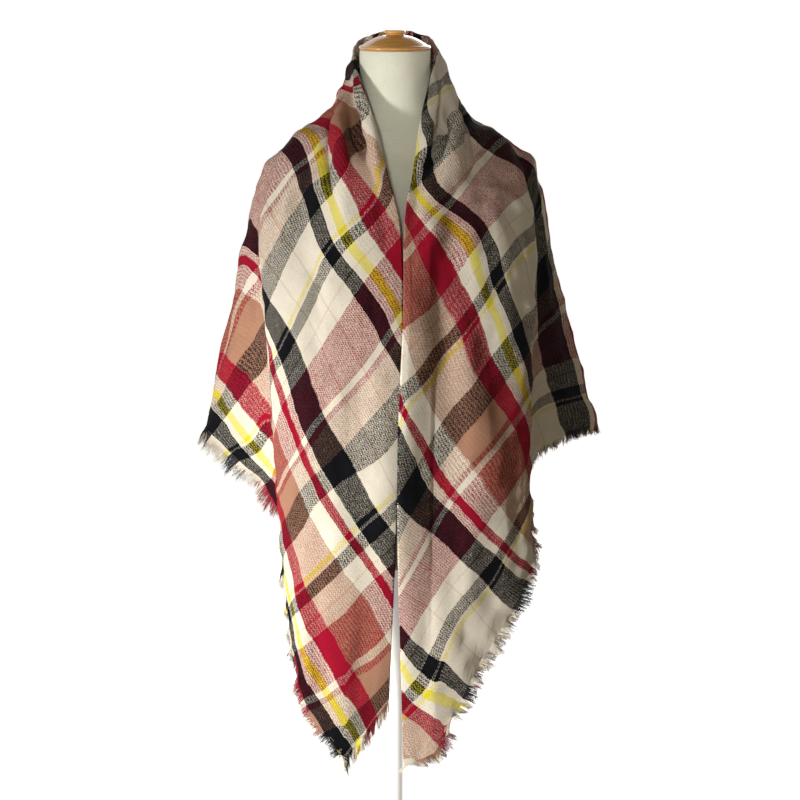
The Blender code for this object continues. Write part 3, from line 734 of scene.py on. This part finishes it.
def build_cloth(mat):
    """Make the scarf's two woven layers, joined round the fold, and return what its fringe needs."""
    across = np.linspace(0, LAST_GUIDE, CLOTH_COLUMNS)
    down = np.linspace(0, LAST_LEVEL, CLOTH_ROWS)
    outward, (outer, threads), (inner, inner_threads) = cloth_layers(across, down)
    wide, high = outer.shape[:2]
    rim = [(0, j) for j in range(high - 1, -1, -1)] + [(i, 0) for i in range(1, wide)]
    rim += [(wide - 1, j) for j in range(1, high)]
    at = tuple(np.array(rim).T)
    middle, half = (outer[at] + inner[at]) / 2, (outer[at] - inner[at]) / 2
    bulge = rim_ways(outer, rim) * np.linalg.norm(half, axis=1)[:, None] * FOLD_BULGE
    verts = [outer.reshape(-1, 3), inner.reshape(-1, 3)]
    values = [threads.reshape(-1, 2), inner_threads.reshape(-1, 2)]
    for step in range(1, FOLD_STEPS + 1):
        share = step / (FOLD_STEPS + 1)
        verts.append(middle + half * math.cos(math.pi * share) + bulge * math.sin(math.pi * share))
        values.append(threads[at] + (inner_threads[at] - threads[at]) * share)
    number = np.arange(wide * high).reshape(wide, high)
    corners = [number[:-1, :-1], number[:-1, 1:], number[1:, 1:], number[1:, :-1]]
    quads = np.stack(corners, axis=-1).reshape(-1, 4)
    faces = quads.tolist() + (quads[:, ::-1] + wide * high).tolist()
    rings = [number[at]]
    for step in range(FOLD_STEPS):
        rings.append(2 * wide * high + step * len(rim) + np.arange(len(rim)))
    rings.append(number[at] + wide * high)
    for near, far in zip(rings, rings[1:]):
        faces += np.stack([near[:-1], near[1:], far[1:], far[:-1]], axis=-1).tolist()
    cloth = add_object("scarf_plaid", np.vstack(verts), faces, mat)
    values = np.vstack(values)
    store_threads(cloth, np.column_stack([values, np.zeros(len(values))]))
    return cloth, across, outward, ((outer, threads), (inner, inner_threads))


def yarn_way(net, threads, family):
    """Return the way that a family of yarns leaves the hem."""
    run, fall = np.gradient(net, axis=0)[:, -1], np.gradient(net, axis=1)[:, -1]
    grow = np.stack([np.gradient(threads, axis=0)[:, -1], np.gradient(threads, axis=1)[:, -1]], axis=-1)
    di, dj = -grow[:, family, 1], grow[:, family, 0]
    way = run * di[:, None] + fall * dj[:, None]
    way *= np.sign(np.sum(way * fall, axis=1))[:, None]
    return way / np.maximum(np.linalg.norm(way, axis=1), 1e-9)[:, None]


def read_table(table, place):
    """Read straight between a table's rows of place and value."""
    return np.interp(place, *zip(*table))


def yarn_end(root, aim, bend, length, out_way):
    """Return the corners of one tapered yarn end, ring by ring."""
    side = np.cross(aim, out_way)
    side /= np.linalg.norm(side)
    over = np.cross(side, aim)
    corners = []
    for part in range(YARN_END_PARTS + 1):
        share = part / YARN_END_PARTS
        middle = root - aim * YARN_END_ROOT + aim * length * share + bend * share ** 2
        radius = YARN_END_RADIUS * (1 - (1 - YARN_END_TIP) * share)
        for k in range(YARN_END_SIDES):
            turn = 2 * math.pi * k / YARN_END_SIDES
            corners.append(middle + radius * (math.cos(turn) * side + math.sin(turn) * over))
    return corners


def yarn_end_faces(first):
    """Return the faces of the yarn end whose corners start at the given number."""
    tip = first + YARN_END_PARTS * YARN_END_SIDES
    return ring_faces(first, YARN_END_SIDES, YARN_END_PARTS + 1) + [tuple(range(tip, tip + YARN_END_SIDES))]


def build_fringe(name, first, last, across, outward, layers, mat):
    """Make one run of loose yarn ends at the raw edge of both layers."""
    verts, faces, values = [], [], []
    for net, threads in layers:
        low, high = np.searchsorted(across, [first - 1e-6, last + 1e-6])
        pick = slice(max(low - 1, 0), min(high + 1, len(across)))
        hem = net[pick, -1]
        fall = hem - net[pick, -3]
        fall /= np.linalg.norm(fall, axis=1, keepdims=True)
        ways = [yarn_way(net, threads, family)[pick] for family in (0, 1)]
        change = abs(np.gradient(threads, axis=0)[pick, -1])
        rows = np.column_stack([hem, fall, outward[pick, -1], np.gradient(hem, axis=0), *ways,
                                change, threads[pick, -1], across[pick]])
        reach = np.concatenate([[0.0], np.cumsum(np.linalg.norm(np.diff(hem, axis=0), axis=1))])
        start, stop = np.interp([first, last], across[pick], reach)
        ends = max(2, int((stop - start) / YARN_END_PITCH))
        spots = start + (np.arange(ends) + rng.uniform(0.1, 0.9, ends)) * (stop - start) / ends
        clump = np.floor(spots / CLUMP + rng.uniform(0, 1)).astype(int)
        clump_lean = rng.normal(0, 1, (clump.max() + 2, 3))
        clump_length = rng.uniform(*CLUMP_SHORT, clump.max() + 2)
        read = np.column_stack([np.interp(spots, reach, row) for row in rows.T])
        for spot, tuft, row in zip(spots, clump, read):
            root, down_way, out_way, run, *leads = row[:18].reshape(6, 3)
            left_change, right_change, left_cm, right_cm, guide = row[18:]
            family = 0 if left_change > right_change else 1
            full, hang = read_table(FRINGE_LENGTHS, guide), read_table(FRINGE_HANG, guide)
            spread = read_table(FRINGE_SPREAD, guide)
            lean = clump_lean[tuft]
            gather = np.cross(out_way, down_way)
            off_centre = (tuft + 0.5) * CLUMP - spot
            gather *= np.sign(np.dot(gather, run)) * off_centre / full * GATHER
            aim = (1 - hang) * leads[family] + DOWN_LEAN * down_way + gather
            aim += CLUMP_LEAN * lean + STRAY_LEAN * rng.normal(0, 1, 3)
            aim += np.array([spread, 0, 0.5 * spread - hang])
            aim /= np.linalg.norm(aim)
            length = full * clump_length[tuft] * rng.uniform(*STRAY_SHORT)
            bend = np.array([0, 0, -SAG]) + CLUMP_CURL * lean[::-1] + STRAY_CURL * rng.normal(0, 1, 3)
            faces += yarn_end_faces(len(verts))
            corners = yarn_end(root, aim, bend * length, length, out_way)
            verts += corners
            values += [(left_cm, right_cm, float(1 - family))] * len(corners)
    piece = add_object(name + "_yarn", verts, faces, mat)
    store_threads(piece, values)
    return piece


def round_piece(name, rings, mat):
    """Make a closed piece of level rings of equal count, from its foot to its top."""
    count = len(rings[0])
    faces = ring_faces(0, count, len(rings))
    last = (len(rings) - 1) * count
    middle = last + count
    verts = np.vstack([*rings, np.mean(rings[0], axis=0), np.mean(rings[-1], axis=0)])
    for step in range(count):
        after = (step + 1) % count
        faces.append((after, step, middle))
        faces.append((last + step, last + after, middle + 1))
    return add_object(name, verts, faces, mat)


def build_torso(mat):
    """Loft the form's body and neck through its sections, with the seam round the neck."""
    turn = np.linspace(0, 2 * math.pi, ROUND_STEPS, endpoint=False)
    x, y = np.cos(turn), np.sin(turn)
    rings = []
    sections = smooth_through(TORSO, np.linspace(0, len(TORSO) - 1, TORSO_ROWS))
    for z, half_width, front, back, corner in sections:
        grow = 1 - SEAM_DEPTH * math.exp(-((z - NECK_SEAM) / SEAM_WIDTH) ** 2) / half_width
        depth = np.where(y > 0, back, -front)
        rings.append(np.column_stack([grow * half_width * np.sign(x) * abs(x) ** (2 / corner),
                                      grow * depth * np.sign(y) * abs(y) ** (2 / corner),
                                      np.full(ROUND_STEPS, z)]))
    foot = [rings[0] * [share, share, 1] for share in TORSO_FOOT]
    head = [rings[-1] * [share, share, 1] for share in TORSO_HEAD]
    return round_piece("torso", foot + rings + head, mat)


def turned(name, profile, mat):
    """Turn a profile of (radius, z) rows round the form's axis."""
    turn = np.linspace(0, 2 * math.pi, ROUND_STEPS, endpoint=False)
    rings = [np.column_stack([radius * np.cos(turn), radius * np.sin(turn), np.full(ROUND_STEPS, z)])
             for radius, z in profile]
    return round_piece(name, rings, mat)


def build_cap(mat):
    """Turn the wooden neck cap: a rounded rim under a low dome."""
    foot = NECK_TOP + CLEAR
    edge = CAP_RADIUS - CAP_ROUND
    profile = [(CAP_RADIUS - 0.0060, foot), (CAP_RADIUS - 0.0036, foot + 0.0001)]
    for step in range(1, 16):
        turn = math.pi * step / 16
        profile.append((edge + CAP_ROUND * math.sin(turn), foot + CAP_RIM * (1 - math.cos(turn)) / 2))
    for share in np.linspace(0, 1, 25):
        rise = (CAP_HEIGHT - CAP_RIM) * math.sin(share * math.pi / 2)
        profile.append((edge - (edge - KNOB_RADIUS + 0.002) * share, foot + CAP_RIM + rise))
    return turned("neck_cap", profile, mat)


def build_knob(mat):
    """Turn the knob: a short waist and a flat round top."""
    foot = NECK_TOP + 2 * CLEAR + CAP_HEIGHT
    tall = KNOB_TOP - foot
    rows = [(KNOB_RADIUS - inset, foot + share * tall) for inset, share in KNOB_WAIST]
    rows += [(KNOB_RADIUS - inset, KNOB_TOP - drop) for inset, drop in KNOB_EDGE]
    return turned("knob", smooth_through(rows, np.linspace(0, len(rows) - 1, 40)).tolist(), mat)


# --- Materials ---
def linear(colour, alpha=1.0):
    """Return a screen colour, 0 to 255, as linear light with alpha."""
    parts = [part / 255 for part in colour]
    return (*[part / 12.92 if part <= 0.04045 else ((part + 0.055) / 1.055) ** 2.4 for part in parts], alpha)


class Nodes:
    """Adds nodes to one material, each fed by values or other nodes' sockets."""

    def __init__(self, name, **settings):
        self.material = bpy.data.materials.new(name)
        self.material.use_nodes = True
        self.tree = self.material.node_tree
        self.shader = self.tree.nodes["Principled BSDF"]
        self.feed(self.shader, {socket.replace("_", " "): value for socket, value in settings.items()})

    def feed(self, node, values):
        """Link or set a node's inputs, by name or by number."""
        for key, value in values.items():
            if isinstance(value, bpy.types.NodeSocket):
                self.tree.links.new(value, node.inputs[key])
            else:
                node.inputs[key].default_value = value

    def make(self, kind, values=(), **settings):
        """Add a node, feed its inputs and return its outputs."""
        node = self.tree.nodes.new("ShaderNode" + kind)
        for setting, value in settings.items():
            setattr(node, setting, value)
        self.feed(node, dict(values))
        return node.outputs

    def math(self, operation, *values):
        return self.make("Math", enumerate(values), operation=operation)[0]

    def weighted(self, base, *parts):
        """Return a base plus each of the values times its weight."""
        for value, weight in parts:
            base = self.math("MULTIPLY_ADD", value, weight, base)
        return base

    def swing(self, noise, size):
        """Return noise as a swing about 0."""
        return self.math("MULTIPLY", self.math("SUBTRACT", noise, 0.5), size)

    def threads(self):
        """Return the distances from both raw edges, and the family of a loose yarn."""
        stored = self.make("Attribute", attribute_name="threads")["Vector"]
        return self.make("SeparateXYZ", {0: stored})

    def place(self):
        return self.make("TexCoord")["Object"]

    def vector(self, *parts):
        return self.make("CombineXYZ", enumerate(parts))[0]

    def noise(self, place, scale, detail=2.0, roughness=0.5, stretch=(1, 1, 1)):
        stretched = self.make("VectorMath", {0: place, 1: stretch}, operation="MULTIPLY")[0]
        return self.make("TexNoise", {"Vector": stretched, "Scale": scale, "Detail": detail,
                                      "Roughness": roughness})[0]

    def mix(self, share, first, second):
        return self.make("Mix", {0: share, 6: first, 7: second}, data_type="RGBA")[2]

    def brighten(self, colour, amount):
        return self.make("HueSaturation", {"Value": amount, "Color": colour})[0]

    def ramp(self, place, stops, interpolation="LINEAR"):
        """Return the colour and the alpha of a ramp through stops of place and colour."""
        outputs = self.make("ValToRGB", {0: place})
        ramp = outputs[0].node.color_ramp
        ramp.interpolation = interpolation
        for k, (at, colour) in enumerate(stops):
            element = ramp.elements[k] if k < 2 else ramp.elements.new(at)
            element.position = at
            element.color = colour
        return outputs

    def shades(self, place, shades):
        return self.ramp(place, [(at, linear(colour)) for at, colour in shades])[0]

    def bump(self, height, distance, strength, before=None):
        values = {"Height": height, "Distance": distance, "Strength": strength}
        if before is not None:
            values["Normal"] = before
        return self.make("Bump", values)[0]

    def done(self, colour, normal=None, roughness=None):
        """Feed the shader and return the material."""
        values = {"Base Color": colour, "Normal": normal, "Roughness": roughness}
        self.feed(self.shader, {key: value for key, value in values.items() if value is not None})
        return self.material


def stripe_colour(nodes, distance, sett):
    """Return the yarn's colour and cover at a distance in centimetres from the raw edge."""
    period = sum(width for _, width in sett)
    stops, at = [], 0.0
    for yarn, width in sett:
        stops.append((at / period, linear(YARNS[yarn][:3], YARNS[yarn][3])))
        at += width
    share = nodes.math("FRACT", nodes.math("DIVIDE", nodes.math("ADD", distance, 20 * period), period))
    return nodes.ramp(share, stops, "CONSTANT")


def plaid_material():
    """Brushed twill: both families of stripes, the yarns that pass over each other, and the nap, with
    painted shade that lightens each yarn's crown and the yarns on top.
    """
    nodes = Nodes("plaid_cloth", Roughness=0.92, Sheen_Weight=0.02, Sheen_Roughness=0.5,
                  Specular_IOR_Level=0.05)
    left, right, _ = nodes.threads()
    weave = nodes.vector(left, right, 0.0)
    wander = nodes.swing(nodes.noise(weave, 0.55, 2.0), WANDER)
    fray = nodes.swing(nodes.noise(weave, 6.0, 1.0), FRAY)
    left = nodes.math("ADD", left, nodes.math("ADD", wander, fray))
    right = nodes.math("ADD", right, nodes.math("SUBTRACT", wander, fray))
    over_left = nodes.math("DIVIDE", left, YARN_PITCH)
    over_right = nodes.math("DIVIDE", right, YARN_PITCH)
    left_colour, left_cover = stripe_colour(nodes, left, LEFT_SETT)
    right_colour, right_cover = stripe_colour(nodes, right, RIGHT_SETT)
    strong = nodes.math("MULTIPLY", nodes.math("MULTIPLY", left_cover, right_cover),
                        nodes.math("SUBTRACT", left_cover, right_cover))
    share = nodes.weighted(LEFT_SHOWS, (left_cover, LEFT_COVER), (right_cover, -RIGHT_COVER),
                           (strong, STRONG_OVER_STRONG))
    step = nodes.math("PINGPONG", nodes.math("FLOOR", over_right), 2.0)
    stray = nodes.swing(nodes.noise(weave, 4.5, 3.0, 0.7), UNEVEN_WEAVE)
    place = nodes.math("ADD", nodes.math("ADD", over_left, step), stray)
    on_top = nodes.math("LESS_THAN", nodes.math("FRACT", nodes.math("DIVIDE", place, TWILL)), share)

    def crown(over):
        off = nodes.weighted(-1.0, (nodes.math("FRACT", over), 2.0))
        return nodes.math("SUBTRACT", 1.0, nodes.math("MULTIPLY", off, off))

    below = nodes.math("SUBTRACT", 1.0, on_top)
    height = nodes.math("ADD", nodes.math("MULTIPLY", crown(over_left), on_top),
                        nodes.math("MULTIPLY", crown(over_right), below))
    woven = nodes.mix(on_top, right_colour, left_colour)
    brushed = nodes.mix(NAP, woven, nodes.mix(share, right_colour, left_colour))
    fibre = nodes.noise(nodes.place(), 900.0, 3.0, 0.7)
    blotch = nodes.swing(nodes.noise(nodes.place(), 26.0, 3.0, 0.6), 0.16)
    # Painted shade and highlight: each yarn's crown and the yarns on top are made lighter, as if lit; fibre
    # and blotch add random tone
    painted_shade_and_tone = nodes.weighted(0.63, (height, 0.22), (on_top, 0.15), (fibre, 0.26), (blotch, 1.0))
    soft = nodes.bump(nodes.noise(nodes.place(), 70.0, 3.0, 0.6), 0.0022, 0.5)
    yarn = nodes.bump(height, 0.00045, 0.8, soft)
    return nodes.done(nodes.brighten(brushed, painted_shade_and_tone), nodes.bump(fibre, 0.00035, 0.7, yarn))


def fringe_material():
    """Loose yarn ends, coloured by the stripe that each one continues."""
    nodes = Nodes("fringe_yarn", Roughness=0.9, Sheen_Weight=0.2, Sheen_Roughness=0.5,
                  Specular_IOR_Level=0.15)
    left, right, family = nodes.threads()
    colour = nodes.mix(family, stripe_colour(nodes, right, RIGHT_SETT)[0],
                       stripe_colour(nodes, left, LEFT_SETT)[0])
    fibre = nodes.noise(nodes.place(), 1400.0, 2.0, 0.6)
    colour = nodes.brighten(colour, nodes.weighted(0.72, (fibre, 0.5)))
    return nodes.done(colour, nodes.bump(fibre, 0.0002, 0.6))


def linen_material():
    """Fine cream linen, stretched smooth, with slubs in both ways of the weave."""
    nodes = Nodes("form_linen", Roughness=0.82, Sheen_Weight=0.12, Sheen_Roughness=0.4,
                  Specular_IOR_Level=0.2)
    place = nodes.place()
    level = nodes.noise(place, 1.0, 2.0, 0.6, (90, 90, 1500))
    upright = nodes.noise(place, 1.0, 2.0, 0.6, (1500, 1500, 90))
    weave = nodes.math("ADD", level, upright)
    colour = nodes.shades(nodes.noise(place, 14.0, 3.0, 0.6), LINEN_SHADES)
    colour = nodes.brighten(colour, nodes.weighted(0.84, (weave, 0.16)))
    return nodes.done(colour, nodes.bump(weave, 0.00022, 0.5))


def wood_material():
    """Turned honey-coloured wood under clear lacquer."""
    nodes = Nodes("honey_wood", Roughness=0.34, Coat_Weight=0.7, Coat_Roughness=0.08,
                  Specular_IOR_Level=0.45)
    place = nodes.place()
    bend = nodes.noise(place, 9.0)
    grain = nodes.noise(place, 1.0, 4.0, 0.65, (26, 420, 160))
    pores = nodes.noise(place, 1.0, 2.0, 0.6, (120, 2600, 1400))
    colour = nodes.shades(nodes.weighted(0.0, (grain, 0.7), (bend, 0.3)), WOOD_SHADES)
    colour = nodes.brighten(colour, nodes.weighted(0.88, (pores, 0.22)))
    return nodes.done(colour, nodes.bump(pores, 0.00008, 0.5), nodes.weighted(0.26, (grain, 0.14)))


def paint_and_glow_material():
    """Satin off-white painted steel, with a faint orange peel, and a faint glow of painted light that keeps
    it near-white in the cloth's shade.
    """
    # The emission is painted light: the surface glows faintly, though it is no lamp
    nodes = Nodes("white_paint", Roughness=0.4, Coat_Weight=0.15, Coat_Roughness=0.2,
                  Specular_IOR_Level=0.5, Emission_Strength=0.28, Emission_Color=(1.0, 0.99, 0.97, 1.0))
    place = nodes.place()
    dust = nodes.noise(place, 18.0, 3.0, 0.6)
    colour = nodes.shades(dust, PAINT_SHADES)
    peel = nodes.bump(nodes.noise(place, 700.0), 0.00012, 0.4)
    return nodes.done(colour, peel, nodes.weighted(0.32, (dust, 0.16)))


def floor_material():
    """A plain pale studio floor."""
    nodes = Nodes("pale_floor", Roughness=0.9, Specular_IOR_Level=0.1, Emission_Strength=0.88,
                  Emission_Color=(1.0, 1.0, 1.0, 1.0))
    return nodes.done(nodes.shades(nodes.noise(nodes.place(), 1.2), FLOOR_SHADES))


# --- Camera, floor and light ---
def set_camera():
    """Stand the camera at the photograph's place."""
    data = bpy.data.cameras.new("camera")
    data.sensor_width = SENSOR_MM
    data.lens = FOCAL_PX * SENSOR_MM / PHOTO_PX
    camera = bpy.data.objects.new("camera", data)
    camera.location = (CAMERA_X, CAMERA_Y, CAMERA_Z)
    camera.rotation_euler = (math.pi / 2 - CAMERA_PITCH, 0.0, 0.0)
    bpy.context.collection.objects.link(camera)
    bpy.context.scene.camera = camera


def build_floor():
    """Make one pale sweep: a floor that curves up into a far wall all round."""
    verts = [(0.0, 0.0, FLOOR_TOP)]
    for radius, height in FLOOR_PROFILE:
        for k in range(FLOOR_STEPS):
            turn = 2 * math.pi * k / FLOOR_STEPS
            verts.append((radius * math.cos(turn), radius * math.sin(turn), height + FLOOR_TOP))
    faces = [(0, 1 + k, 1 + (k + 1) % FLOOR_STEPS) for k in range(FLOOR_STEPS)]
    faces += [face[::-1] for face in ring_faces(1, FLOOR_STEPS, len(FLOOR_PROFILE))]
    floor = add_object("floor", verts, faces, floor_material())
    floor.visible_diffuse = False
    return floor


def add_light(name, place, aim, size, power, colour, spread):
    """Add one area light, whose beam a grid can narrow to a spread in degrees."""
    data = bpy.data.lights.new(name, "AREA")
    data.shape, data.size, data.size_y = "RECTANGLE", size[0], size[1]
    data.energy, data.color = power, colour
    data.spread = math.radians(spread)
    light = bpy.data.objects.new(name, data)
    light.location = place
    way = np.array(aim, float) - np.array(place, float)
    tilt = math.acos(-way[2] / np.linalg.norm(way))
    light.rotation_euler = (tilt, 0.0, math.atan2(way[1], way[0]) - math.pi / 2)
    bpy.context.collection.objects.link(light)


def set_light():
    """Light the form from the left front, with a spot on its neck, a warm fill and a back light."""
    world = bpy.data.worlds.new("studio")
    world.use_nodes = True
    background = world.node_tree.nodes["Background"]
    background.inputs["Color"].default_value = ROOM_LIGHT
    background.inputs["Strength"].default_value = ROOM_LIGHT_STRENGTH
    bpy.context.scene.world = world
    for light in LIGHTS:
        add_light(*light)
    bpy.context.scene.view_settings.view_transform = "Standard"


set_camera()
set_light()
build_floor()

linen, wood, paint_and_glow, yarn = linen_material(), wood_material(), paint_and_glow_material(), fringe_material()
cloth, across, outward, layers = build_cloth(plaid_material())
fringes = []
for name, first, last in FRINGE_RUNS:
    fringe = build_fringe(name, first, last, across, outward, layers, yarn)
    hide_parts(name)
    fringes.append(fringe)
torso, cap, knob = build_torso(linen), build_cap(wood), build_knob(wood)
for piece, node, slot in ((cloth, "scarf_cloth", "plaid_cloth"), (torso, "form_torso", "form_linen"),
                          (cap, "form_cap", "honey_wood"), (knob, "form_knob", "honey_wood")):
    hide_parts(node)
for piece in fringes + [cloth, torso, cap, knob]:
    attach(piece, "root")
# The stand gets the off-white finish with its painted glow
for node in ("stand_pole", "stand_base"):
    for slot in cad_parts[node].material_slots:
        slot.material = paint_and_glow
